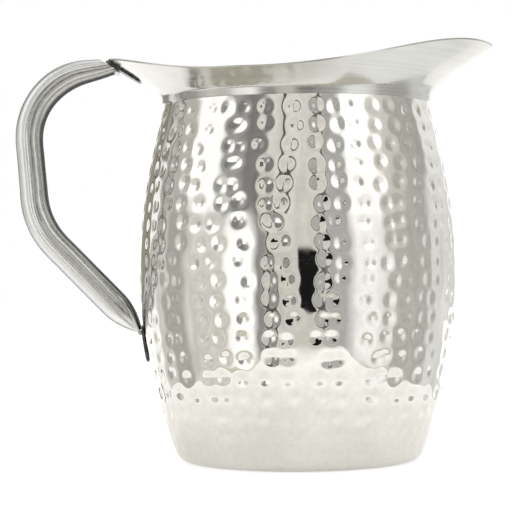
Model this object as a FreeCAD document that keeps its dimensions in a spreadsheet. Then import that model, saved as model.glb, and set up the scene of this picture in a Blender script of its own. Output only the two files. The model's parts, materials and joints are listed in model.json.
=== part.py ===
import FreeCAD, Part
import math
import os

import Sketcher
from FreeCAD import Vector

# Hammered stainless steel bell pitcher: a barrel body, a flared collar with a pouring lip, and a
# hollow two-shell handle on welded plates.
#
# Millimetres, +Z up. The origin is on the body's axis in the plane of the foot, the pouring lip
# points along +X and the handle stands on the -X side.

OUT = "parts"
SEW_TOLERANCE = 0.01
SKIRT_LIFT = 0.3  # the skirt stops just above the shoulder
LOBE_TURNS = (0, 6, 14, 24, 36, 50, 68, 90, 112, 130, 144, 156, 166, 174, 180)
BACK_POWER = 0.8  # roundness of the back shell: 1 is an ellipse, less is boxier
GRIP_POWER = 0.55  # the same for the grip shell, on the finger side
CREASE_SHARE = 0.05  # how far the shells draw in where they meet
CREASE_REACH = 0.7  # and over what height they draw in
SECTIONS = 36  # cross-sections along the handle
TINY = 0.001
BLOCK = 60.0  # a cutting block, larger than any handle end
PLATE_ROWS = 14
PLATE_COLUMNS = 8
PLATE_ROUNDING = 4  # how square the plates' ends are
PLATE_TIP_WIDTH = 0.3  # share of the width left at a plate's very end
PLATE_TIP_WALL = 0.4

# alias: (millimetres or degrees, what it is)
DIMENSIONS = {
    "body_wall": (0.8, "sheet thickness of the drawn body"),
    "belly_r": (76.9, "largest outside radius of the body"),
    "belly_z": (89.0, "height of the largest radius"),
    "lower_wall_r": (222.0, "radius of the wall's arc below the belly"),
    "upper_wall_r": (270.0, "radius of the wall's arc above the belly"),
    "base_corner_r": (7.0, "outside radius between foot and wall"),
    "foot_inner_r": (48.0, "inner radius of the flat foot ring"),
    "panel_r": (45.0, "radius of the raised middle of the bottom"),
    "panel_rise": (1.2, "how far the middle of the bottom stands above the foot"),
    "neck_r": (64.4, "outside radius of the body's neck"),
    "neck_band_z": (172.4, "height at which the straight neck band begins"),
    "body_top_z": (175.3, "height of the body's top edge"),
    "collar_wall": (1.0, "sheet thickness of the collar"),
    "lap_gap": (0.04, "radial gap of the lap joint at the neck"),
    "flare_z": (175.6, "height at which the collar leaves its straight skirt"),
    "spout_reach": (95.8, "radius of the rim at the lip"),
    "rear_reach": (91.4, "radius of the rim above the handle"),
    "side_reach": (73.8, "radius of the rim at its narrowest"),
    "spout_spread": (27.0, "angle over which the lip's reach fades"),
    "rear_spread": (56.0, "angle over which the rear's reach fades"),
    "rim_low_z": (183.7, "lowest height of the rim"),
    "spout_z": (202.3, "height the rim climbs to towards the lip"),
    "rear_z": (194.1, "height of the rim above the handle"),
    "lip_drop": (3.2, "how far the lip's tip turns down again"),
    "lip_spread": (15.3, "angle over which that drop fades"),
    "spout_rise_angle": (107.0, "angle from the lip at which the rim is down to its lowest"),
    "rear_rise_angle": (62.0, "angle from the handle at which the rim is down to its lowest"),
    "spout_upright": (0.23, "share of the lip's height that stands upright before it flares"),
    "rear_upright": (0.15, "share of the rear's height that stands upright before it flares"),
    "weld_leg": (0.75, "leg of the fillet weld inside the neck"),
    "weld_root_gap": (0.02, "gap under the weld's legs"),
    "grip_foot_x": (77.5, "distance from the axis of the handle line's lower end"),
    "grip_foot_z": (63.3, "height of the handle line's lower end"),
    "grip_low_corner_x": (127.2, "distance from the axis at which the lower and upright runs meet"),
    "grip_low_corner_z": (114.6, "height at which the lower and upright runs meet"),
    "grip_top_corner_x": (132.9, "distance from the axis at which the upright and upper runs meet"),
    "grip_top_corner_z": (184.6, "height at which the upright and upper runs meet"),
    "grip_end_x": (84.0, "distance from the axis of the handle line's upper end"),
    "grip_end_z": (192.9, "height of the handle line's upper end"),
    "grip_low_bend_r": (38.0, "radius of the handle line's lower bend"),
    "grip_top_bend_r": (33.0, "radius of the handle line's upper bend"),
    "grip_width": (24.0, "width of the handle"),
    "grip_end_width": (17.0, "width of the handle at its ends"),
    "grip_depth": (12.5, "depth of the handle, from its back to its finger side"),
    "grip_low_depth": (13.5, "depth of the handle along its lower run"),
    "grip_low_fade": (45.0, "length over which the depth changes, past the lower run"),
    "grip_foot_depth": (2.2, "depth of the handle at its lower end"),
    "grip_tip_depth": (5.0, "depth of the handle at its upper end"),
    "grip_low_taper": (18.0, "length over which the lower end thins"),
    "grip_top_taper": (38.0, "length over which the upper end thins"),
    "grip_seam": (0.45, "share of the depth that belongs to the back shell"),
    "grip_wall": (0.9, "sheet thickness of the handle's shells"),
    "seam_gap": (0.02, "half the gap between the two shells"),
    "plate_wall": (1.1, "thickness of the handle plates"),
    "plate_gap": (0.05, "gap between a plate and the sheet it lies on"),
    "plate_width": (18.0, "width of the handle plates"),
    "top_plate_start": (0.63, "share of the flare at which the upper plate begins"),
    "top_plate_end": (1.02, "share of the flare at which the upper plate ends"),
    "low_plate_start": (48.0, "height of the lower plate's lower end"),
    "low_plate_end": (66.0, "height of the lower plate's upper end"),
    "end_cut_share": (0.9, "share of the flare at which the handle's upper end is cut to fit"),
    "end_cut_gap": (0.3, "gap between the upper plate and the handle's cut end"),
    "bead_r": (1.0, "radius of the weld bead at a handle end"),
    "top_bead_x": (87.6, "distance of the upper bead's middle from the axis"),
    "top_bead_z": (189.2, "height of the upper bead's middle"),
    "low_bead_x": (76.8, "distance of the lower bead's middle from the axis"),
    "low_bead_z": (62.2, "height of the lower bead's middle"),
}


def write_sheet(doc):
    """The driving dimensions, one row each: name, number, meaning."""
    sheet = doc.addObject("Spreadsheet::Sheet", "Dimensions")
    for row, (alias, (number, meaning)) in enumerate(DIMENSIONS.items(), start=1):
        sheet.set(f"A{row}", alias)
        sheet.set(f"B{row}", str(number))
        sheet.setAlias(f"B{row}", alias)
        sheet.set(f"C{row}", meaning)
    doc.recompute()
    return sheet


DOC = FreeCAD.newDocument("BellPitcher")
SHEET = write_sheet(DOC)


def dim(alias):
    """A driving dimension's number, read back from the sheet."""
    return float(SHEET.get(alias))


# ---------------------------------------------------------------- sketch helpers


def plane(body, role):
    """One of a body's own origin planes or axes."""
    return next(f for f in body.Origin.OriginFeatures if f.Role == role)


def new_sketch(body, name, role="XZ_Plane"):
    sketch = body.newObject("Sketcher::SketchObject", name)
    sketch.AttachmentSupport = [(plane(body, role), "")]
    sketch.MapMode = "FlatFace"
    return sketch


def bind(sketch, index, alias):
    """Ties a sketch's dimensional constraint to a cell of the sheet."""
    sketch.setExpression(f"Constraints[{index}]", f"Dimensions.{alias}")


def add_line(sketch, start, end):
    return sketch.addGeometry(Part.LineSegment(Vector(*start, 0), Vector(*end, 0)), False)


def add_arc(sketch, centre, radius, start, end):
    """A counter-clockwise arc between two angles in degrees."""
    circle = Part.Circle(Vector(*centre, 0), Vector(0, 0, 1), radius)
    return sketch.addGeometry(
        Part.ArcOfCircle(circle, math.radians(start), math.radians(end)), False
    )


def join(sketch, first, first_end, second, second_end, kind="Coincident"):
    sketch.addConstraint(Sketcher.Constraint(kind, first, first_end, second, second_end))


def fix(sketch, kind, geometry, point, alias, value):
    """A distance of a point from the sketch's origin, tied to the sheet."""
    index = sketch.addConstraint(Sketcher.Constraint(kind, -1, 1, geometry, point, value))
    bind(sketch, index, alias)


def fix_radius(sketch, geometry, alias):
    index = sketch.addConstraint(Sketcher.Constraint("Radius", geometry, dim(alias)))
    bind(sketch, index, alias)


def revolve(body, sketch, name, angle=360.0, midplane=False):
    turn = body.newObject("PartDesign::Revolution", name)
    turn.Profile = sketch
    turn.ReferenceAxis = (plane(body, "Z_Axis"), [""])
    turn.Angle = angle
    turn.Midplane = midplane
    sketch.Visibility = False
    DOC.recompute()
    return turn


# ---------------------------------------------------------------- body


def wall_centres():
    """Centres (r, z) of the wall's two arcs; both arcs share the belly's tangent."""
    belly_r, belly_z = dim("belly_r"), dim("belly_z")
    return (belly_r - dim("lower_wall_r"), belly_z), (belly_r - dim("upper_wall_r"), belly_z)


def foot_outer_r():
    """Where the foot's flat ends and the corner begins, from the corner's tangency to the wall."""
    (low_x, low_z), _ = wall_centres()
    corner = dim("base_corner_r")
    reach = dim("lower_wall_r") - corner
    return low_x + math.sqrt(reach**2 - (low_z - corner) ** 2)


def shoulder_angle():
    """Angle, in degrees, at which the upper arc hands over to the straight run up to the neck."""
    _, (up_x, up_z) = wall_centres()
    dx, dz = dim("neck_r") - up_x, dim("neck_band_z") - up_z
    distance = math.hypot(dx, dz)
    return math.degrees(math.atan2(dz, dx) - math.acos(dim("upper_wall_r") / distance))


def body_shell():
    """The drawn barrel: one revolved outline, then shelled from its open top."""
    body = DOC.addObject("PartDesign::Body", "body_shell")
    sketch = new_sketch(body, "barrel_outline")
    (low_x, low_z), (up_x, up_z) = wall_centres()
    belly_r, top = dim("belly_r"), dim("body_top_z")
    corner, foot_r = dim("base_corner_r"), foot_outer_r()
    low_r, up_r = dim("lower_wall_r"), dim("upper_wall_r")
    rise, band = dim("panel_rise"), dim("neck_band_z")
    corner_end = math.degrees(math.atan2(low_z - corner, low_x - foot_r)) - 180
    shoulder = shoulder_angle()
    shoulder_point = (
        up_x + up_r * math.cos(math.radians(shoulder)),
        up_z + up_r * math.sin(math.radians(shoulder)),
    )
    axis = add_line(sketch, (0, top), (0, rise))
    panel = add_line(sketch, (0, rise), (dim("panel_r"), rise))
    slope = add_line(sketch, (dim("panel_r"), rise), (dim("foot_inner_r"), 0))
    foot = add_line(sketch, (dim("foot_inner_r"), 0), (foot_r, 0))
    heel = add_arc(sketch, (foot_r, corner), corner, -90, corner_end)
    lower = add_arc(sketch, (low_x, low_z), low_r, corner_end, 0)
    upper = add_arc(sketch, (up_x, up_z), up_r, 0, shoulder)
    shoulder_run = add_line(sketch, shoulder_point, (dim("neck_r"), band))
    neck = add_line(sketch, (dim("neck_r"), band), (dim("neck_r"), top))
    mouth = add_line(sketch, (dim("neck_r"), top), (0, top))
    chain = [axis, panel, slope, foot]
    for first, second in zip(chain, chain[1:]):
        join(sketch, first, 2, second, 1)
    join(sketch, foot, 2, heel, 1, "Tangent")
    join(sketch, heel, 2, lower, 1, "Tangent")
    join(sketch, lower, 2, upper, 1, "Tangent")
    join(sketch, upper, 2, shoulder_run, 1, "Tangent")
    join(sketch, shoulder_run, 2, neck, 1)
    join(sketch, neck, 2, mouth, 1)
    join(sketch, mouth, 2, axis, 1)
    sketch.addConstraint(Sketcher.Constraint("PointOnObject", axis, 1, -2))
    sketch.addConstraint(Sketcher.Constraint("Vertical", axis))
    sketch.addConstraint(Sketcher.Constraint("Vertical", neck))
    for level in (panel, foot, mouth):
        sketch.addConstraint(Sketcher.Constraint("Horizontal", level))
    sketch.addConstraint(Sketcher.Constraint("PointOnObject", foot, 1, -1))
    fix(sketch, "DistanceX", foot, 1, "foot_inner_r", dim("foot_inner_r"))
    fix(sketch, "DistanceX", panel, 2, "panel_r", dim("panel_r"))
    fix(sketch, "DistanceY", panel, 2, "panel_rise", rise)
    fix(sketch, "DistanceX", lower, 2, "belly_r", belly_r)
    fix(sketch, "DistanceY", lower, 2, "belly_z", low_z)
    fix(sketch, "DistanceY", lower, 3, "belly_z", low_z)
    fix(sketch, "DistanceX", neck, 1, "neck_r", dim("neck_r"))
    fix(sketch, "DistanceY", neck, 1, "neck_band_z", band)
    fix(sketch, "DistanceY", neck, 2, "body_top_z", top)
    fix_radius(sketch, heel, "base_corner_r")
    fix_radius(sketch, lower, "lower_wall_r")
    fix_radius(sketch, upper, "upper_wall_r")
    DOC.recompute()
    barrel = revolve(body, sketch, "barrel")
    shell = body.newObject("PartDesign::Thickness", "sheet")
    top_face = max(
        range(len(barrel.Shape.Faces)), key=lambda i: barrel.Shape.Faces[i].CenterOfMass.z
    )
    shell.Base = (barrel, [f"Face{top_face + 1}"])
    shell.setExpression("Value", "Dimensions.body_wall")
    shell.Reversed = True
    shell.Join = 1
    DOC.recompute()
    return body


# ---------------------------------------------------------------- collar


def fade(angle, spread):
    """1 at no angle, falling smoothly to nothing a little past the spread."""
    return math.exp(-((angle / spread) ** 2))


def swell(angle, end):
    """1 at no angle, 0 from the end angle on, level at both."""
    return math.cos(math.radians(90 * min(1.0, angle / end))) ** 2


def rim_point(angle):
    """(r, z) of the rim's outer edge, at an angle in degrees from the lip."""
    front, rear = abs(angle), 180 - abs(angle)
    reach = (
        dim("side_reach")
        + (dim("spout_reach") - dim("side_reach")) * fade(front, dim("spout_spread"))
        + (dim("rear_reach") - dim("side_reach")) * fade(rear, dim("rear_spread"))
    )
    low = dim("rim_low_z")
    height = (
        low
        + (dim("spout_z") - low) * swell(front, dim("spout_rise_angle"))
        + (dim("rear_z") - low) * swell(rear, dim("rear_rise_angle"))
        - dim("lip_drop") * fade(front, dim("lip_spread"))
    )
    return reach, height


def skirt_r():
    """Outside radius of the collar's skirt, which laps over the body's neck."""
    return dim("neck_r") + dim("lap_gap") + dim("collar_wall")


def flare_point(angle, share):
    """The collar's outer surface: a parabola that leaves the skirt upright and ends on the rim."""
    reach, height = rim_point(angle)
    start_r, start_z = skirt_r(), dim("flare_z")
    toward_lip = 0.5 + 0.5 * math.cos(math.radians(angle))
    upright = dim("rear_upright") + (dim("spout_upright") - dim("rear_upright")) * toward_lip
    knee_z = start_z + upright * (height - start_z)
    a, b, c = (1 - share) ** 2, 2 * share * (1 - share), share**2
    radius = (a + b) * start_r + c * reach
    z = a * start_z + b * knee_z + c * height
    turn = math.radians(angle)
    return Vector(radius * math.cos(turn), radius * math.sin(turn), z)


def flare_normal(angle, share):
    """The flare's unit normal, pointing away from the drink."""
    step = 0.001
    across = flare_point(angle + 1, share) - flare_point(angle - 1, share)
    low, high = max(0.0, share - step), share + step
    up = flare_point(angle, high) - flare_point(angle, low)
    normal = across.cross(up)
    return normal.normalize()


def sheet_point(angle, share, out):
    """A point beside the flare's outer surface; out is positive away from the drink."""
    return flare_point(angle, share) + flare_normal(angle, share) * out


ANGLES = [i * 360.0 / 72 - 180 for i in range(72)]
SHARES = [0.0, 0.12, 0.28, 0.46, 0.64, 0.82, 1.0]


def ring(points):
    """A smooth closed curve through points, as a wire."""
    curve = Part.BSplineCurve()
    curve.interpolate(Points=points, PeriodicFlag=True)
    return Part.Wire([curve.toShape()])


def level_ring(radius, z):
    """A level ring round the body's axis."""
    turns = [math.radians(a) for a in ANGLES]
    return ring([Vector(radius * math.cos(t), radius * math.sin(t), z) for t in turns])


def skin(rings, ruled=False):
    """The faces of a surface through closed rings."""
    return Part.makeLoft(rings, False, ruled).Faces


def solid_of(faces):
    """One solid sewn from faces that meet edge to edge."""
    solid = Part.Solid(Part.Shell(faces))
    solid.fix(SEW_TOLERANCE, SEW_TOLERANCE, SEW_TOLERANCE)
    return solid


def add_part(name, shape):
    """A finished solid under its own name, placed on the pitcher's origin."""
    part = DOC.addObject("Part::Feature", name)
    part.Shape = shape
    part.Label = name
    part.Placement = FreeCAD.Placement(Vector(0, 0, 0), FreeCAD.Rotation())
    return part


def collar():
    """The flared collar: outer and inner sheet surfaces, a rounded rim and a straight skirt."""
    wall = dim("collar_wall")
    outer_rings = [ring([sheet_point(a, s, 0) for a in ANGLES]) for s in SHARES]
    inner_rings = [ring([sheet_point(a, s, -wall) for a in ANGLES]) for s in SHARES]
    rim_middle = []
    for a in ANGLES:
        along = flare_point(a, 1.0) - flare_point(a, 0.99)
        rim_middle.append(sheet_point(a, 1.0, -wall / 2) + along.normalize() * (wall / 2))
    rim_rings = [outer_rings[-1], ring(rim_middle), inner_rings[-1]]
    faces = skin(outer_rings) + skin(rim_rings) + skin(inner_rings)
    bottom = dim("neck_band_z") + SKIRT_LIFT
    outer_foot = level_ring(skirt_r(), bottom)
    inner_foot = level_ring(skirt_r() - wall, bottom)
    faces += skin([outer_foot, outer_rings[0]], ruled=True)
    faces += skin([inner_foot, inner_rings[0]], ruled=True)
    faces += Part.makeFace([outer_foot, inner_foot], "Part::FaceMakerBullseye").Faces
    return add_part("collar", solid_of(faces))


# ---------------------------------------------------------------- neck weld


def neck_weld():
    """The fillet weld that fills the corner between the body's top edge and the collar's inside."""
    body = DOC.addObject("PartDesign::Body", "neck_weld")
    sketch = new_sketch(body, "fillet_outline")
    leg, root = dim("weld_leg"), dim("weld_root_gap")
    seat_r = dim("neck_r") + dim("lap_gap") - root
    seat_z = dim("body_top_z") + root
    base = add_line(sketch, (seat_r - leg, seat_z), (seat_r, seat_z))
    wall = add_line(sketch, (seat_r, seat_z), (seat_r, seat_z + leg))
    face = add_line(sketch, (seat_r, seat_z + leg), (seat_r - leg, seat_z))
    join(sketch, base, 2, wall, 1)
    join(sketch, wall, 2, face, 1)
    join(sketch, face, 2, base, 1)
    sketch.addConstraint(Sketcher.Constraint("Horizontal", base))
    sketch.addConstraint(Sketcher.Constraint("Vertical", wall))
    reach = sketch.addConstraint(Sketcher.Constraint("DistanceX", -1, 1, wall, 1, seat_r))
    sketch.setExpression(
        f"Constraints[{reach}]",
        "Dimensions.neck_r + Dimensions.lap_gap - Dimensions.weld_root_gap",
    )
    rise = sketch.addConstraint(Sketcher.Constraint("DistanceY", -1, 1, wall, 1, seat_z))
    sketch.setExpression(
        f"Constraints[{rise}]", "Dimensions.body_top_z + Dimensions.weld_root_gap"
    )
    bind(sketch, sketch.addConstraint(Sketcher.Constraint("Distance", base, leg)), "weld_leg")
    bind(sketch, sketch.addConstraint(Sketcher.Constraint("Distance", wall, leg)), "weld_leg")
    DOC.recompute()
    revolve(body, sketch, "fillet")
    return body


# ---------------------------------------------------------------- handle


def bend(before, corner, after, radius):
    """Start, middle and end (x, z) of the arc that rounds a corner of the handle's line."""
    to_before = Vector(before[0] - corner[0], 0, before[1] - corner[1]).normalize()
    to_after = Vector(after[0] - corner[0], 0, after[1] - corner[1]).normalize()
    half = to_before.getAngle(to_after) / 2
    apex = Vector(corner[0], 0, corner[1])
    middle_line = (to_before + to_after).normalize()
    centre = apex + middle_line * (radius / math.sin(half))
    run = radius / math.tan(half)
    return apex + to_before * run, centre - middle_line * radius, apex + to_after * run


def handle_line():
    """The handle's middle line, from its lower end to its upper end: three runs and two bends."""
    foot = (-dim("grip_foot_x"), dim("grip_foot_z"))
    low = (-dim("grip_low_corner_x"), dim("grip_low_corner_z"))
    top = (-dim("grip_top_corner_x"), dim("grip_top_corner_z"))
    end = (-dim("grip_end_x"), dim("grip_end_z"))
    low_bend = bend(foot, low, top, dim("grip_low_bend_r"))
    top_bend = bend(low, top, end, dim("grip_top_bend_r"))
    edges = [
        Part.LineSegment(Vector(foot[0], 0, foot[1]), low_bend[0]).toShape(),
        Part.Arc(*low_bend).toShape(),
        Part.LineSegment(low_bend[2], top_bend[0]).toShape(),
        Part.Arc(*top_bend).toShape(),
        Part.LineSegment(top_bend[2], Vector(end[0], 0, end[1])).toShape(),
    ]
    return edges


def station(edges, distance):
    """Point and unit direction on the handle's line at a distance from its lower end."""
    for edge in edges:
        if distance <= edge.Length or edge is edges[-1]:
            where = edge.getParameterByLength(min(distance, edge.Length))
            return edge.valueAt(where), edge.tangentAt(where)
        distance -= edge.Length
    return None


def blunt(distance, length):
    """0 at no distance, 1 from the length on: a blunt, rounded taper."""
    return 1 - (1 - min(1.0, distance / length)) ** 2


def lobe_curve(seam_at, out, half, deep, side):
    """The curve of one shell across the handle, from one seam edge over its crown to the other."""
    power = BACK_POWER if side > 0 else GRIP_POWER
    across_axis = Vector(0, 1, 0)
    points = []
    for turn in LOBE_TURNS:
        c, s = math.cos(math.radians(turn)), math.sin(math.radians(turn))
        rise = deep * max(s, 0.0) ** power
        across = half * math.copysign(abs(c) ** power, c)
        drawn_in = 1 - CREASE_SHARE * math.exp(-((rise / CREASE_REACH) ** 2))
        points.append(seam_at + across_axis * (across * drawn_in) + out * (side * rise))
    curve = Part.BSplineCurve()
    curve.interpolate(points)
    return curve.toShape(), points[0], points[-1]


def shell_section(edges, length, distance, side):
    """The closed outline of one shell's sheet; side is +1 for the back shell, -1 for the grip."""
    point, along = station(edges, distance)
    out = along.cross(Vector(0, 1, 0))
    at_foot = blunt(distance, dim("grip_low_taper"))
    at_tip = blunt(length - distance, dim("grip_top_taper"))
    end_width, foot_depth, tip_depth = (
        dim("grip_end_width"), dim("grip_foot_depth"), dim("grip_tip_depth")
    )
    full = end_width + (dim("grip_width") - end_width) * at_foot * at_tip
    past_low_run = max(0.0, distance - edges[0].Length)
    deepest = dim("grip_depth") + (dim("grip_low_depth") - dim("grip_depth")) * swell(
        past_low_run, dim("grip_low_fade")
    )
    depth = foot_depth + (deepest - foot_depth) * at_foot
    depth = tip_depth + (depth - tip_depth) * at_tip
    seam = dim("grip_seam")
    seam_at = point + out * (depth * (0.5 - seam) + side * dim("seam_gap"))
    deep = depth * (seam if side > 0 else 1 - seam) - dim("seam_gap")
    wall = dim("grip_wall")
    outer, outer_start, outer_end = lobe_curve(seam_at, out, full / 2, deep, side)
    inner, inner_start, inner_end = lobe_curve(seam_at, out, full / 2 - wall, deep - wall, side)
    lips = [
        Part.LineSegment(outer_end, inner_end).toShape(),
        Part.LineSegment(inner_start, outer_start).toShape(),
    ]
    return Part.Wire(Part.__sortEdges__([outer, lips[0], inner, lips[1]]))


def stations(length):
    """Distances along the handle's line, close together where its ends thin."""
    turns = [math.pi * i / SECTIONS for i in range(SECTIONS + 1)]
    return [length * (1 - math.cos(turn)) / 2 for turn in turns]


def half_space(origin, direction):
    """A large block that fills the space ahead of a plane."""
    block = Part.makeBox(BLOCK, BLOCK, BLOCK, Vector(-BLOCK / 2, -BLOCK / 2, 0))
    block.Placement = FreeCAD.Placement(origin, FreeCAD.Rotation(Vector(0, 0, 1), direction))
    return block


def behind_plate():
    """The space on the drink's side of the upper plate's outer face, where the handle is cut off."""
    share = dim("end_cut_share")
    out = flare_normal(180, share)
    stand_off = dim("plate_gap") + dim("plate_wall") + dim("end_cut_gap")
    return half_space(flare_point(180, share) + out * stand_off, out * -1)


def handle_shell(name, side):
    """One pressed shell of the hollow handle."""
    edges = handle_line()
    length = sum(edge.Length for edge in edges)
    sections = [shell_section(edges, length, d, side) for d in stations(length)]
    shell = Part.makeLoft(sections, True).cut(behind_plate())
    return add_part(name, max(shell.Solids, key=lambda solid: solid.Volume))


# ---------------------------------------------------------------- handle plates


def flattened(point, origin, normal):
    """The point dropped onto the plane through an origin."""
    along = Vector(normal).normalize()
    return point - along * (point - origin).dot(along)


def plate_section(surface_point, mark, share):
    """A plate's closed outline at one mark along it; share runs from 0 to 1 over its length."""
    rounding = max(0.0, 1 - abs(2 * share - 1) ** PLATE_ROUNDING)
    half = dim("plate_width") / 2 * (PLATE_TIP_WIDTH + (1 - PLATE_TIP_WIDTH) * math.sqrt(rounding))
    thick = dim("plate_wall") * (PLATE_TIP_WALL + (1 - PLATE_TIP_WALL) * math.sqrt(rounding))
    gap = dim("plate_gap")
    middle = surface_point(mark, 0, gap)
    along = surface_point(mark + TINY, 0, gap) - surface_point(mark - TINY, 0, gap)
    across = [half * (2 * i / PLATE_COLUMNS - 1) for i in range(PLATE_COLUMNS + 1)]
    inner = [flattened(surface_point(mark, y, gap), middle, along) for y in across]
    outer = [flattened(surface_point(mark, y, gap + thick), middle, along) for y in across]
    edges = []
    for points in (outer, inner):
        curve = Part.BSplineCurve()
        curve.interpolate(points)
        edges.append(curve.toShape())
    edges.append(Part.LineSegment(outer[0], inner[0]).toShape())
    edges.append(Part.LineSegment(outer[-1], inner[-1]).toShape())
    return Part.Wire(Part.__sortEdges__(edges))


def on_collar(share, y, out):
    """A point beside the collar above the handle, y to the side of the middle."""
    radius = flare_point(180, share).x
    return sheet_point(180 - math.degrees(math.asin(y / abs(radius))), share, out)


def on_body(z, y, out):
    """A point beside the body's wall under the handle, y to the side of the middle."""
    (low_x, low_z), _ = wall_centres()
    climb = math.asin((z - low_z) / dim("lower_wall_r"))
    reach = dim("lower_wall_r") + out
    radius = low_x + reach * math.cos(climb)
    turn = math.pi - math.asin(y / radius)
    return Vector(radius * math.cos(turn), radius * math.sin(turn), low_z + reach * math.sin(climb))


def plate(name, surface_point, start, end):
    """A handle plate, formed to the sheet it lies on."""
    shares = [(1 - math.cos(math.pi * i / PLATE_ROWS)) / 2 for i in range(PLATE_ROWS + 1)]
    sections = [plate_section(surface_point, start + (end - start) * t, t) for t in shares]
    return add_part(name, Part.makeLoft(sections, True))


def end_weld(name, x, z, neighbours):
    """The weld bead that closes a handle end onto its plate, trimmed to the metal round it."""
    radius, half = dim("bead_r"), dim("grip_end_width") / 2 - dim("bead_r") / 2
    bead = Part.makeCylinder(radius, 2 * half, Vector(-x, -half, z), Vector(0, 1, 0))
    for y in (-half, half):
        bead = bead.fuse(Part.makeSphere(radius, Vector(-x, y, z)))
    for neighbour in neighbours:
        bead = bead.cut(neighbour)
    return add_part(name, max(bead.Solids, key=lambda solid: solid.Volume))


def build():
    body = body_shell()
    ring_weld = neck_weld()
    mouth = collar()
    back = handle_shell("handle_back_shell", 1)
    grip = handle_shell("handle_grip_shell", -1)
    top_plate = plate(
        "upper_handle_plate", on_collar, dim("top_plate_start"), dim("top_plate_end")
    )
    low_plate = plate("lower_handle_plate", on_body, dim("low_plate_start"), dim("low_plate_end"))
    top_bead = (dim("top_bead_x"), dim("top_bead_z"))
    low_bead = (dim("low_bead_x"), dim("low_bead_z"))
    edges = handle_line()
    tip, along = station(edges, 0)
    past_foot = half_space(tip - along * dim("seam_gap"), along)
    top_weld = end_weld("upper_handle_weld", *top_bead, (grip.Shape, top_plate.Shape))
    low_weld = end_weld("lower_handle_weld", *low_bead, (past_foot, low_plate.Shape))
    DOC.recompute()
    return [body, ring_weld, mouth, back, grip, top_plate, low_plate, top_weld, low_weld]


def check_and_export(parts):
    """Stops on any broken object, then writes one file per part."""
    for item in DOC.Objects:
        if "Invalid" in item.State or "Error" in item.State:
            raise RuntimeError(f"{item.Name} did not compute: {item.State}")
        shape = getattr(item, "Shape", None)
        if shape is not None and (shape.isNull() or not shape.isValid()):
            raise RuntimeError(f"{item.Name} has no sound shape")
    for part in parts:
        part.Label = part.Name
        if len(part.Shape.Solids) != 1:
            raise RuntimeError(f"{part.Name} is not one solid")
        part.Shape.exportStep(f"{OUT}/{part.Name}.step")
        box = part.Shape.BoundBox
        print(f"{part.Name}: {part.Shape.Volume:.1f} mm3, x {box.XMin:.2f} to {box.XMax:.2f}, "
              f"y {box.YMin:.2f} to {box.YMax:.2f}, z {box.ZMin:.2f} to {box.ZMax:.2f}")


os.makedirs("parts", exist_ok=True)
check_and_export(build())
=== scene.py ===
import json
import math
import random

import bpy
import numpy as np
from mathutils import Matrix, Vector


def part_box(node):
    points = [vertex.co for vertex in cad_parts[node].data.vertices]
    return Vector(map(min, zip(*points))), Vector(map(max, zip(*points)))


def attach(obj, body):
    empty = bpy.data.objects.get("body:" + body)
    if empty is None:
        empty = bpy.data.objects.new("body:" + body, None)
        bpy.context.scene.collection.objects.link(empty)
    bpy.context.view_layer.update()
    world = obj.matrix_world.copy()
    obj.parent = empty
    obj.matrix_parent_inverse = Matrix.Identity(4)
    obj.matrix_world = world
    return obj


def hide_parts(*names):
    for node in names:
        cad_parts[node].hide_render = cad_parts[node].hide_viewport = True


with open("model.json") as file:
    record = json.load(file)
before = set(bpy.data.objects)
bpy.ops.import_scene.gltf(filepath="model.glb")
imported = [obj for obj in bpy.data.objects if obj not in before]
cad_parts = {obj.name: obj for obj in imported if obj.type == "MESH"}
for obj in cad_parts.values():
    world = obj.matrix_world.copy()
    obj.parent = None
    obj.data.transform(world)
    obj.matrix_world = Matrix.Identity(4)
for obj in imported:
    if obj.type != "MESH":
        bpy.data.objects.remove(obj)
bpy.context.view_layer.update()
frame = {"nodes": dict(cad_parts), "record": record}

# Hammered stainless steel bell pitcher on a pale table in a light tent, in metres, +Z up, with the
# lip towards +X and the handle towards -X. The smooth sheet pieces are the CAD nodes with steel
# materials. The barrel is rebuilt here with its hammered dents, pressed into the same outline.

TAU = 2 * math.pi

# ---------------------------------------------------------------- the barrel's outline

low_corner, high_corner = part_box("body_shell")
BELLY_R = (high_corner.x - low_corner.x) / 2
TOP_Z = high_corner.z
BELLY_Z = 0.089
LOWER_WALL_R = 0.222  # radius of the arc up the wall below the belly
UPPER_WALL_R = 0.270  # and above it
HEEL_R = 0.007
NECK_R = 0.0644
NECK_BAND_Z = 0.1724
PANEL_R, PANEL_RISE, FOOT_INNER_R = 0.045, 0.0012, 0.048  # the raised middle of the bottom
SHEET = 0.0008
HEEL_STEPS, LOWER_STEPS, UPPER_STEPS = 12, 200, 160  # points on the outline's arcs
HEEL_END = 2 + HEEL_STEPS  # place in the outline of the heel's last point

COLUMNS, OUTER_ROWS, INNER_ROWS = 420, 150, 78  # of the mesh

# ---------------------------------------------------------------- the hammered dents

DENT_SEED = 7
DENT_COLUMNS = 42
DENT_PITCH = 0.0089  # between rows, up the wall
DENT_FIRST, DENT_LAST = 0.0085, 0.167  # heights of the lowest and highest rows
DENT_WIDTH = (0.0024, 0.0030)  # from a dent's middle to where it is a third as deep
DENT_DEPTH = (0.00050, 0.00068)
DENT_REACH = 2.6  # widths at which a dent has run out
DENT_RISE = 0.0011  # how far a dent strays above or below its row
SHALLOW_BELOW, SHALLOW_SHARE = 0.045, 0.7  # the lowest rows are struck more lightly
# Columns wander as they climb, in shares of the space between two of them
SWAY_START, SWAY_STEP, SWAY_KEPT, ROW_STAGGER = 0.3, 0.26, 0.72, 0.15


def arc(centre, radius, start, end, steps):
    """Points on an arc between two angles in radians, as (r, z) rows."""
    turns = np.linspace(start, end, steps)
    return np.stack([centre[0] + radius * np.cos(turns), centre[1] + radius * np.sin(turns)], 1)


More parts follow.
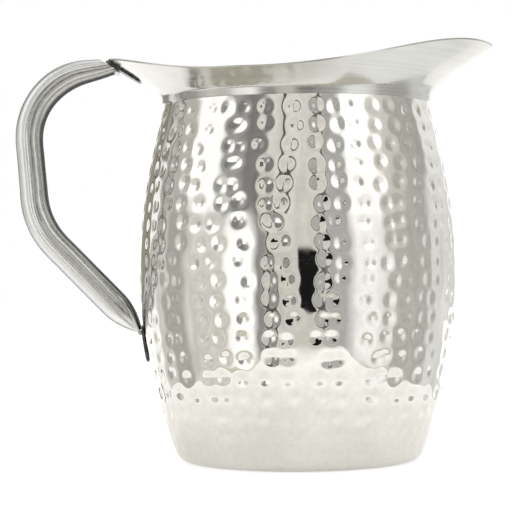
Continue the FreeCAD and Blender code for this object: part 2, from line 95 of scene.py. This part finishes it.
def barrel_outline(inset=0.0):
    """The outline from the middle of the bottom to the top edge; inset moves it into the sheet."""
    low_centre = (BELLY_R - LOWER_WALL_R, BELLY_Z)
    high_centre = (BELLY_R - UPPER_WALL_R, BELLY_Z)
    reach = LOWER_WALL_R - HEEL_R
    foot_r = low_centre[0] + math.sqrt(reach**2 - (BELLY_Z - HEEL_R) ** 2)
    heel_end = math.atan2(HEEL_R - BELLY_Z, foot_r - low_centre[0])
    to_neck = (NECK_R - high_centre[0], NECK_BAND_Z - BELLY_Z)
    shoulder = math.atan2(to_neck[1], to_neck[0]) - math.acos(UPPER_WALL_R / math.hypot(*to_neck))
    parts = [
        np.array([[0.0, PANEL_RISE + inset], [PANEL_R, PANEL_RISE + inset]]),
        np.array([[FOOT_INNER_R, inset]]),
        arc((foot_r, HEEL_R), HEEL_R - inset, -math.pi / 2, heel_end, HEEL_STEPS),
        arc(low_centre, LOWER_WALL_R - inset, heel_end, 0, LOWER_STEPS)[1:],
        arc(high_centre, UPPER_WALL_R - inset, 0, shoulder, UPPER_STEPS)[1:],
        np.array([[NECK_R - inset, NECK_BAND_Z], [NECK_R - inset, TOP_Z]]),
    ]
    return np.concatenate(parts)


def along(outline):
    """Distance along an outline to each of its points."""
    steps = np.hypot(*np.diff(outline, axis=0).T)
    return np.concatenate([[0.0], np.cumsum(steps)])


def dents(outline):
    """Middle (distance up the outline, angle), width and depth of every dent."""
    chance = random.Random(DENT_SEED)
    travel = along(outline)
    wall = outline[:, 1] > HEEL_R / 3  # the outline's rising part
    rows = int(round((DENT_LAST - DENT_FIRST) / DENT_PITCH)) + 1
    found = []
    sway = [chance.uniform(-SWAY_START, SWAY_START) for _ in range(DENT_COLUMNS)]
    for row in range(rows):
        height = DENT_FIRST + (DENT_LAST - DENT_FIRST) * row / (rows - 1)
        strength = np.interp(height, (DENT_FIRST, SHALLOW_BELOW), (SHALLOW_SHARE, 1))
        for column in range(DENT_COLUMNS):
            sway[column] = SWAY_KEPT * sway[column] + chance.uniform(-SWAY_STEP, SWAY_STEP)
            z = height + chance.uniform(-DENT_RISE, DENT_RISE)
            up = np.interp(z, outline[wall, 1], travel[wall])
            angle = TAU * (column + ROW_STAGGER * (row % 2) + sway[column]) / DENT_COLUMNS
            deep = chance.uniform(*DENT_DEPTH) * strength
            found.append((up, angle, chance.uniform(*DENT_WIDTH), deep))
    return found


def dent_field(ups, angles, outline, marks):
    """Depth of the dents, and its slopes up and round the wall, on a grid of places."""
    travel = along(outline)
    depth = np.zeros((len(ups), len(angles)))
    slope_up, slope_round = np.zeros_like(depth), np.zeros_like(depth)
    for up, angle, width, deep in marks:
        reach = DENT_REACH * width
        rows = np.flatnonzero(np.abs(ups - up) < reach)
        girth = np.interp(up, travel, outline[:, 0])
        turn = (angles - angle + math.pi) % TAU - math.pi
        cols = np.flatnonzero(np.abs(turn) * girth < reach)
        dy = ((ups[rows] - up) / width)[:, None]
        dx = (turn[cols] * girth / width)[None, :]
        bowl = deep * np.exp(-(dx**2) - dy**2)
        block = np.ix_(rows, cols)
        depth[block] += bowl
        slope_up[block] -= 2 * dy / width * bowl
        slope_round[block] -= 2 * dx / width * bowl
    return depth, slope_up, slope_round


def spaced(outline, rows):
    """Distances up the outline: its own corners at the foot, then even steps up the wall."""
    travel = along(outline)
    wall = np.linspace(travel[HEEL_END], travel[-1], rows)
    return np.concatenate([travel[1:HEEL_END + 1], wall[1:]])


def dented_skin(outline, rows, marks, outward):
    """Vertices and normals of one side of the sheet; outward is +1 outside and -1 inside."""
    travel = along(outline)
    ups = spaced(outline, rows)
    angles = np.linspace(0, TAU, COLUMNS, endpoint=False)
    depth, slope_up, slope_round = dent_field(ups, angles, outline, marks)
    r, z = np.interp(ups, travel, outline[:, 0]), np.interp(ups, travel, outline[:, 1])
    tangent = np.stack([np.gradient(r, ups), np.gradient(z, ups)], 1)
    tangent /= np.linalg.norm(tangent, axis=1)[:, None]
    out_r, out_z = tangent[:, 1], -tangent[:, 0]
    cos, sin = np.cos(angles), np.sin(angles)
    radial = r[:, None] - depth * out_r[:, None]
    height = z[:, None] - depth * out_z[:, None]
    points = np.stack([radial * cos, radial * sin, height], 2)
    up_r, up_z = tangent[:, 0][:, None], tangent[:, 1][:, None]
    normal_r = out_r[:, None] + slope_up * up_r
    normal_z = out_z[:, None] + slope_up * up_z
    normals = np.stack([
        normal_r * cos - slope_round * sin, normal_r * sin + slope_round * cos, normal_z
    ], 2)
    normals *= outward / np.linalg.norm(normals, axis=2)[:, :, None]
    return points, normals


def hammered_body():
    """The dented barrel as one closed sheet."""
    outer, inner = barrel_outline(), barrel_outline(SHEET)
    marks = dents(outer)
    outside, outside_normals = dented_skin(outer, OUTER_ROWS, marks, 1)
    inside, inside_normals = dented_skin(inner, INNER_ROWS, marks, -1)
    points = np.concatenate([outside, inside[::-1]])
    normals = np.concatenate([outside_normals, inside_normals[::-1]])
    rows = len(points)
    index = np.arange(rows * COLUMNS).reshape(rows, COLUMNS)
    right = np.roll(index, -1, axis=1)
    quads = np.stack([index[:-1], right[:-1], right[1:], index[1:]], 2).reshape(-1, 4)
    caps = [index[0][::-1].tolist(), index[-1].tolist()]
    mesh = bpy.data.meshes.new("hammered_body")
    mesh.from_pydata(points.reshape(-1, 3).tolist(), [], quads.tolist() + caps)
    mesh.shade_smooth()
    flat_down = np.array([0.0, 0.0, -1.0])
    vertex_normals = normals.reshape(-1, 3)
    vertex_normals[:COLUMNS] = flat_down
    vertex_normals[-COLUMNS:] = -flat_down
    mesh.normals_split_custom_set_from_vertices(vertex_normals.tolist())
    obj = bpy.data.objects.new("hammered_body", mesh)
    bpy.context.scene.collection.objects.link(obj)
    return obj


# ---------------------------------------------------------------- shader nodes


class Graph:
    """The shader nodes of one material or world, and the steps that this script builds from."""

    def __init__(self, owner):
        owner.use_nodes = True
        self.nodes, self.links = owner.node_tree.nodes, owner.node_tree.links

    def feed(self, socket, value):
        """Gives a socket another socket's value, a number, a colour or a vector."""
        if isinstance(value, bpy.types.NodeSocket):
            self.links.new(value, socket)
        elif socket.type == "RGBA":
            socket.default_value = (*value, 1)
        else:
            socket.default_value = value

    def maths(self, operation, *values):
        node = self.nodes.new("ShaderNodeMath")
        node.operation = operation
        for socket, value in zip(node.inputs, values):
            self.feed(socket, value)
        return node.outputs[0]

    def vector_maths(self, operation, first, second=None, scale=None):
        """The outputs of a Vector Math node: Vector, or Value for a length."""
        node = self.nodes.new("ShaderNodeVectorMath")
        node.operation = operation
        self.feed(node.inputs[0], first)
        if second is not None:
            self.feed(node.inputs[1], second)
        if scale is not None:
            self.feed(node.inputs["Scale"], scale)
        return node.outputs

    def along_axes(self, vector):
        """The x, y and z of a vector."""
        split = self.nodes.new("ShaderNodeSeparateXYZ")
        self.feed(split.inputs[0], vector)
        return split.outputs

    def mapped(self, value, source, target=(0, 1), smooth=False):
        """A value moved from one range to another and kept inside it."""
        span = self.nodes.new("ShaderNodeMapRange")
        span.interpolation_type = "SMOOTHSTEP" if smooth else "LINEAR"
        for socket, number in zip(("From Min", "From Max", "To Min", "To Max"), source + target):
            self.feed(span.inputs[socket], number)
        self.feed(span.inputs["Value"], value)
        return span.outputs["Result"]

    def noise(self, place, scale, detail):
        texture = self.nodes.new("ShaderNodeTexNoise")
        self.feed(texture.inputs["Vector"], place)
        self.feed(texture.inputs["Scale"], scale)
        self.feed(texture.inputs["Detail"], detail)
        return texture.outputs["Fac"]

    def blended(self, share, first, second):
        """One colour where share is 0 and the other where it is 1."""
        mix = self.nodes.new("ShaderNodeMix")
        mix.data_type = "RGBA"
        factor, first_colour, second_colour = mix.inputs[0], mix.inputs[6], mix.inputs[7]
        self.feed(factor, share)
        self.feed(first_colour, first)
        self.feed(second_colour, second)
        return mix.outputs[2]

    def window(self, value, ends, blur):
        """1 between two ends, fading to 0 outside them."""
        low, high = ends
        rise = self.mapped(value, (low - blur, low + blur), (0, 1), smooth=True)
        fall = self.mapped(value, (high - blur, high + blur), (1, 0), smooth=True)
        return self.maths("MULTIPLY", rise, fall)

    def bump(self, shader, pattern, height):
        """Raises a surface by a pattern, on top of any bump that it has already."""
        node = self.nodes.new("ShaderNodeBump")
        self.feed(node.inputs["Height"], pattern)
        self.feed(node.inputs["Distance"], height)
        for link in list(shader.inputs["Normal"].links):
            self.feed(node.inputs["Normal"], link.from_socket)
        self.feed(shader.inputs["Normal"], node.outputs["Normal"])


# ---------------------------------------------------------------- steel

# Noises, each as its scale and detail
STREAKS = (1, 4)  # drawn on places that the streaks' fineness has stretched already
BLOTS, SWELLS = (28, 3), (55, 1)
MOST_NOISE = (0.3, 0.7)  # the values that a noise takes nearly everywhere
TONE_RANGE = (0.38, 0.62)  # where the tone turns from its dark to its light end

FINISHES = {
    "hammered_steel": dict(
        dark=(0.74, 0.725, 0.685), light=(0.80, 0.79, 0.755), gloss=(0.03, 0.07),
        streaks=(400, 400, 400),
    ),
    "satin_steel": dict(
        dark=(0.57, 0.565, 0.54), light=(0.66, 0.655, 0.63), gloss=(0.12, 0.22),
        streaks=(22, 22, 1100), streak_height=6e-6,
    ),
    "polished_steel": dict(
        dark=(0.88, 0.88, 0.88), light=(0.96, 0.96, 0.96), gloss=(0.36, 0.42),
        streaks=(500, 500, 500), waves=2e-4, edge=0.05,
    ),
    # painted shade: the handle's finger side gets darker steel to stand in for the shade on it
    "grip_steel_painted_shade": dict(
        dark=(0.54, 0.54, 0.535), light=(0.66, 0.66, 0.65), gloss=(0.20, 0.26),
        streaks=(500, 500, 500), waves=9e-4, edge=0.02,
    ),
    # painted shade: the mounting plates are near black, standing in for their shaded undersides
    "plate_steel": dict(
        dark=(0.06, 0.06, 0.055), light=(0.13, 0.128, 0.12), gloss=(0.20, 0.34),
        streaks=(500, 500, 500),
    ),
    "weld_steel": dict(
        dark=(0.42, 0.41, 0.39), light=(0.62, 0.61, 0.59), gloss=(0.16, 0.30),
        streaks=(900, 900, 900), streak_height=2e-5,
    ),
}
OWN_FINISH = {"handle_grip_shell": "grip_steel_painted_shade"}  # the finger side gets darker steel as painted shade


def steel(name, dark, light, gloss, streaks, streak_height=0.0, waves=0.0, edge=1.0):
    """Stainless steel: its tone and gloss drift over the sheet, over fine polishing streaks.

    gloss is the roughness range, streaks the fineness of the streaks along x, y and z, waves the
    height of the slow unevenness that pressing leaves in the sheet, and edge how much of the light
    a dulled surface still gives back at a glancing angle.
    """
    material = bpy.data.materials.new(name)
    graph = Graph(material)
    shader = graph.nodes["Principled BSDF"]
    graph.feed(shader.inputs["Metallic"], 1.0)
    graph.feed(shader.inputs["Specular Tint"], (edge, edge, edge))
    place = graph.nodes.new("ShaderNodeTexCoord").outputs["Object"]
    lines = graph.noise(graph.vector_maths("MULTIPLY", place, streaks)["Vector"], *STREAKS)
    blots = graph.noise(place, *BLOTS)
    drift = graph.maths("MULTIPLY", graph.maths("ADD", blots, lines), 0.5)
    tone = graph.blended(graph.mapped(drift, TONE_RANGE), dark, light)
    graph.feed(shader.inputs["Base Color"], tone)
    graph.feed(shader.inputs["Roughness"], graph.mapped(lines, MOST_NOISE, gloss))
    if streak_height:
        graph.bump(shader, lines, streak_height)
    if waves:
        graph.bump(shader, graph.noise(place, *SWELLS), waves)
    return material


STEELS = {name: steel(name, **finish) for name, finish in FINISHES.items()}

body = hammered_body()
body.data.materials.append(STEELS["hammered_steel"])
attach(body, "root")
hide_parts("body_shell")
for part in frame["record"]["subparts"]:
    mesh = frame["nodes"][part["node"]].data
    mesh.materials.clear()
    mesh.materials.append(STEELS[OWN_FINISH.get(part["node"], part["material_slot"])])

# ---------------------------------------------------------------- light tent
#
# Only reflections see the tent's walls; everything else is lit by plain white from all round.
# Directions are in degrees right of the camera and degrees up.

TENT_WHITE = 1.5
NEUTRAL, WARM, OLIVE = (1.0, 1.0, 0.99), (1.0, 0.985, 0.93), (1.0, 0.97, 0.80)
# Walls above eye level, then at it and below, going round from behind the pitcher:
# (where a wall ends, brightness, tint, degrees of fade at that end)
UPPER_WALLS = (
    (-161, 1.3, NEUTRAL, 2), (-148, 0.95, WARM, 1), (-129, 0.32, OLIVE, 1), (-95, 0.64, WARM, 4),
    (-62, TENT_WHITE, NEUTRAL, 4), (-47, 0.42, NEUTRAL, 5), (-28, 0.25, NEUTRAL, 2),
    (19, 0.86, WARM, 1), (35, 0.50, NEUTRAL, 4), (66, TENT_WHITE, NEUTRAL, 4), (86, 0.78, WARM, 4),
    (122, 0.52, WARM, 4), (158, 1.0, NEUTRAL, 5), (180, 1.3, NEUTRAL, 1),
)
LOWER_WALLS = (
    (-165, 1.3, NEUTRAL, 1), (-140, 0.34, OLIVE, 1), (-126, 1.2, NEUTRAL, 3),
    (-112, 0.80, WARM, 4), (-92, 0.50, WARM, 4), (-56, 0.80, WARM, 4),
    (-33, TENT_WHITE, NEUTRAL, 4), (-22, 0.36, NEUTRAL, 1), (19, 0.80, WARM, 1),
    (37, 0.55, NEUTRAL, 5), (67, 1.15, NEUTRAL, 6), (108, 0.58, WARM, 6), (156, 0.88, NEUTRAL, 5),
    (180, 1.25, NEUTRAL, 1),
)
WALLS_MEET = (8, 16)  # degrees up over which the lower walls give way to the upper ones
CLOTH, CLOTH_SHADES = (4.5, 3), (0.84, 1.10)  # the folds: a noise, and the shades that it gives
FLOOR_MEETS, FLOOR_SHADE = (-23, -20), (1.14, 1.14, 1.12)
FRONT_FLOOR, FRONT_FLOOR_BLUR, FRONT_FLOOR_SHADE = (-89, 73), 2, (0.72, 0.70, 0.61)
# Seams between the walls: (from, to) across, then (from, to) up
SEAMS = (
    ((-149.5, -147.5), (10, 70)), ((-130, -128), (12, 70)), ((-142.5, -140.5), (-20, 12)),
    ((-12.5, -9.5), (14, 55)), ((-21.5, -19), (-30, 16)), ((16.5, 18.2), (-30, 55)),
)
SEAM_SHADE, SEAM_BLUR = (0.10, 0.098, 0.08), 0.5
OPENING = ((-1.5, 14.5), (-10, 6))  # the hole that the camera looks through
OPENING_SHADE, OPENING_BLUR = (0.012, 0.012, 0.012), 0.8
ROOF_SLOT, ROOF_SLOT_BLUR, ROOF_FROM = (-40, 45), 4, (56, 60)
ROOF_SHADE = (0.11, 0.105, 0.09)
WHITE = (1.0, 1.0, 1.0)


def wall_ramp(graph, share, walls):
    """The tent's walls as a colour ramp once round the pitcher."""
    ramp = graph.nodes.new("ShaderNodeValToRGB")
    graph.feed(ramp.inputs["Fac"], share)
    stops = []
    for (end, here, tint, fade), (_, there, next_tint, _) in zip(walls, walls[1:]):
        stops.append((end - fade, [here * t for t in tint]))
        stops.append((end + fade, [there * t for t in next_tint]))
    elements = ramp.color_ramp.elements
    elements.remove(elements[1])
    for place, (degrees, colour) in enumerate(stops):
        position = 0.5 + degrees / 360
        element = elements[0] if place == 0 else elements.new(position)
        element.position = position
        element.color = (*colour, 1)
    return ramp.outputs["Color"]


def light_tent():
    """A soft white tent with grey seams, a dark camera opening and a dark slot in its roof."""
    world = bpy.data.worlds.new("tent")
    bpy.context.scene.world = world
    graph = Graph(world)
    graph.nodes.clear()
    direction = graph.nodes.new("ShaderNodeTexCoord").outputs["Generated"]
    x, y, z = graph.along_axes(direction)
    turn = graph.maths("ARCTAN2", x, graph.maths("MULTIPLY", y, -1.0))
    across = graph.maths("DEGREES", turn)
    up = graph.maths("DEGREES", graph.maths("ARCSINE", z))

    def patch(sides, heights, blur):
        """1 inside a patch of the tent."""
        sideways = graph.window(across, sides, blur)
        return graph.maths("MULTIPLY", sideways, graph.window(up, heights, blur))

    share = graph.mapped(turn, (-math.pi, math.pi))
    low, high = wall_ramp(graph, share, LOWER_WALLS), wall_ramp(graph, share, UPPER_WALLS)
    walls = graph.blended(graph.mapped(up, WALLS_MEET, smooth=True), low, high)
    folds = graph.mapped(graph.noise(direction, *CLOTH), MOST_NOISE, CLOTH_SHADES)
    tent = graph.vector_maths("SCALE", walls, scale=folds)["Vector"]
    ground = graph.mapped(up, FLOOR_MEETS, (1, 0), smooth=True)
    tent = graph.blended(ground, tent, FLOOR_SHADE)
    front = graph.window(across, FRONT_FLOOR, FRONT_FLOOR_BLUR)
    tent = graph.blended(graph.maths("MULTIPLY", ground, front), tent, FRONT_FLOOR_SHADE)
    for sides, heights in SEAMS:
        tent = graph.blended(patch(sides, heights, SEAM_BLUR), tent, SEAM_SHADE)
    tent = graph.blended(patch(*OPENING, OPENING_BLUR), tent, OPENING_SHADE)
    slot = graph.window(across, ROOF_SLOT, ROOF_SLOT_BLUR)
    roof = graph.mapped(up, ROOF_FROM, smooth=True)
    tent = graph.blended(graph.maths("MULTIPLY", slot, roof), tent, ROOF_SHADE)
    mirrored = graph.nodes.new("ShaderNodeLightPath").outputs["Is Glossy Ray"]
    background = graph.nodes.new("ShaderNodeBackground")
    graph.feed(background.inputs["Color"], graph.blended(mirrored, WHITE, tent))
    output = graph.nodes.new("ShaderNodeOutputWorld")
    graph.feed(output.inputs["Surface"], background.outputs["Background"])


light_tent()

# ---------------------------------------------------------------- floor and table
#
# The camera sees the wide white floor. Reflections see the table instead, whose edge shows in the
# lower part of the barrel.

FLOOR_HALF, FLOOR_Z = 3, -0.0002
FLOOR_GREY, FLOOR_GLOW = (0.5, 0.5, 0.5), 0.60
TABLE_R = 0.165
TABLE_FRONT = 0.17  # how much further the table comes out to the front
TABLE_FRONT_AT, TABLE_FRONT_SPREAD = 5, 24  # degrees right of the camera, and to a third of it
TABLE_SIDES = 125  # degrees to each side of the camera over which the table's edge is curved
TABLE_STEPS = 60
SWEEP_FLARE, SWEEP_END = 4, 1.2  # the table runs on behind the pitcher, much wider
# The first colour is painted shade around the pitcher's foot, the third painted shade at the
# table's front, which the collar reflects; the second is the pale paint itself.
NEAR_PAINTED_SHADE, TABLE_PALE, FRONT_PAINTED_SHADE = (0.72, 0.71, 0.67), (0.98, 0.97, 0.945), (0.36, 0.345, 0.28)
TABLE_GLOW = 0.34
NEAR_SHADE_FADES = (0.13, 0.26)  # distances over which the painted shade near the pitcher fades to the pale paint
FRONT_SHADE_FROM = (-0.26, -0.19)  # y over which the painted shade at the table's front end comes in
MOTTLE, MOTTLE_REACH = (22, 3), 0.12  # a noise, and how far it moves the pale paint's edge
PAINT_ROUGHNESS = 0.7


def pale(name, colour, glow):
    """A matt pale surface that is lit evenly from behind as well."""
    material = bpy.data.materials.new(name)
    graph = Graph(material)
    shader = graph.nodes["Principled BSDF"]
    graph.feed(shader.inputs["Base Color"], colour)
    graph.feed(shader.inputs["Roughness"], PAINT_ROUGHNESS)
    graph.feed(shader.inputs["Emission Color"], WHITE)
    graph.feed(shader.inputs["Emission Strength"], glow)
    return material


def shaded_table_paint():
    """Pale paint, faintly mottled, with painted shade: darker near the pitcher, where its shadow
    falls, and grey at its front end, where the collar reflects it.
    """
    material = pale("table_top", TABLE_PALE, TABLE_GLOW)
    graph = Graph(material)
    place = graph.nodes.new("ShaderNodeTexCoord").outputs["Object"]
    distance = graph.vector_maths("LENGTH", place)["Value"]
    mottle = graph.maths("MULTIPLY", graph.noise(place, *MOTTLE), MOTTLE_REACH)
    reach = graph.maths("ADD", distance, mottle)
    # painted shade around the pitcher's foot, fading out to the pale paint
    colour = graph.blended(graph.mapped(reach, NEAR_SHADE_FADES), NEAR_PAINTED_SHADE, TABLE_PALE)
    # painted shade at the table's front end, which the collar reflects
    front = graph.mapped(graph.along_axes(place)["Y"], FRONT_SHADE_FROM, (1, 0))
    colour = graph.blended(front, colour, FRONT_PAINTED_SHADE)
    graph.feed(graph.nodes["Principled BSDF"].inputs["Base Color"], colour)
    return material


def stage_sheet(name, outline, height, material):
    """A level surface under the pitcher."""
    mesh = bpy.data.meshes.new(name)
    mesh.from_pydata([(x, y, height) for x, y in outline], [], [range(len(outline))])
    mesh.materials.append(material)
    sheet = bpy.data.objects.new(name, mesh)
    bpy.context.scene.collection.objects.link(sheet)
    return sheet


def table_outline():
    """The table's edge, which comes out to the front, and the sweep that runs on behind."""
    edge = []
    for step in range(-TABLE_STEPS, TABLE_STEPS + 1):
        degrees = TABLE_SIDES * step / TABLE_STEPS
        bulge = math.exp(-((degrees - TABLE_FRONT_AT) / TABLE_FRONT_SPREAD) ** 2)
        reach = TABLE_R + TABLE_FRONT * bulge
        turn = math.radians(degrees - 90)
        edge.append((reach * math.cos(turn), reach * math.sin(turn)))
    side, back = SWEEP_FLARE * edge[-1][0], SWEEP_FLARE * edge[-1][1]
    return edge + [(side, back), (side, SWEEP_END), (-side, SWEEP_END), (-side, back)]


wide = [(x * FLOOR_HALF, y * FLOOR_HALF) for x, y in ((-1, -1), (1, -1), (1, 1), (-1, 1))]
floor = stage_sheet("floor", wide, FLOOR_Z, pale("white_floor", FLOOR_GREY, FLOOR_GLOW))
floor.visible_glossy = False
table = stage_sheet("table_top", table_outline(), 0.0, shaded_table_paint())
table.visible_camera = False
table.visible_diffuse = False
table.visible_shadow = False

# ---------------------------------------------------------------- camera

CAMERA_PLACE = (-0.0204, -0.875, 0.099)
CAMERA_ROLL = 0.009
CAMERA_LENS, CAMERA_SENSOR = 126.07, 36

camera_data = bpy.data.cameras.new("camera")
camera_data.lens = CAMERA_LENS
camera_data.sensor_width = CAMERA_SENSOR
camera = bpy.data.objects.new("camera", camera_data)
camera.location = CAMERA_PLACE
camera.rotation_euler = (math.pi / 2, CAMERA_ROLL, 0)
bpy.context.scene.collection.objects.link(camera)
bpy.context.scene.camera = camera
bpy.context.scene.view_settings.view_transform = "Standard"
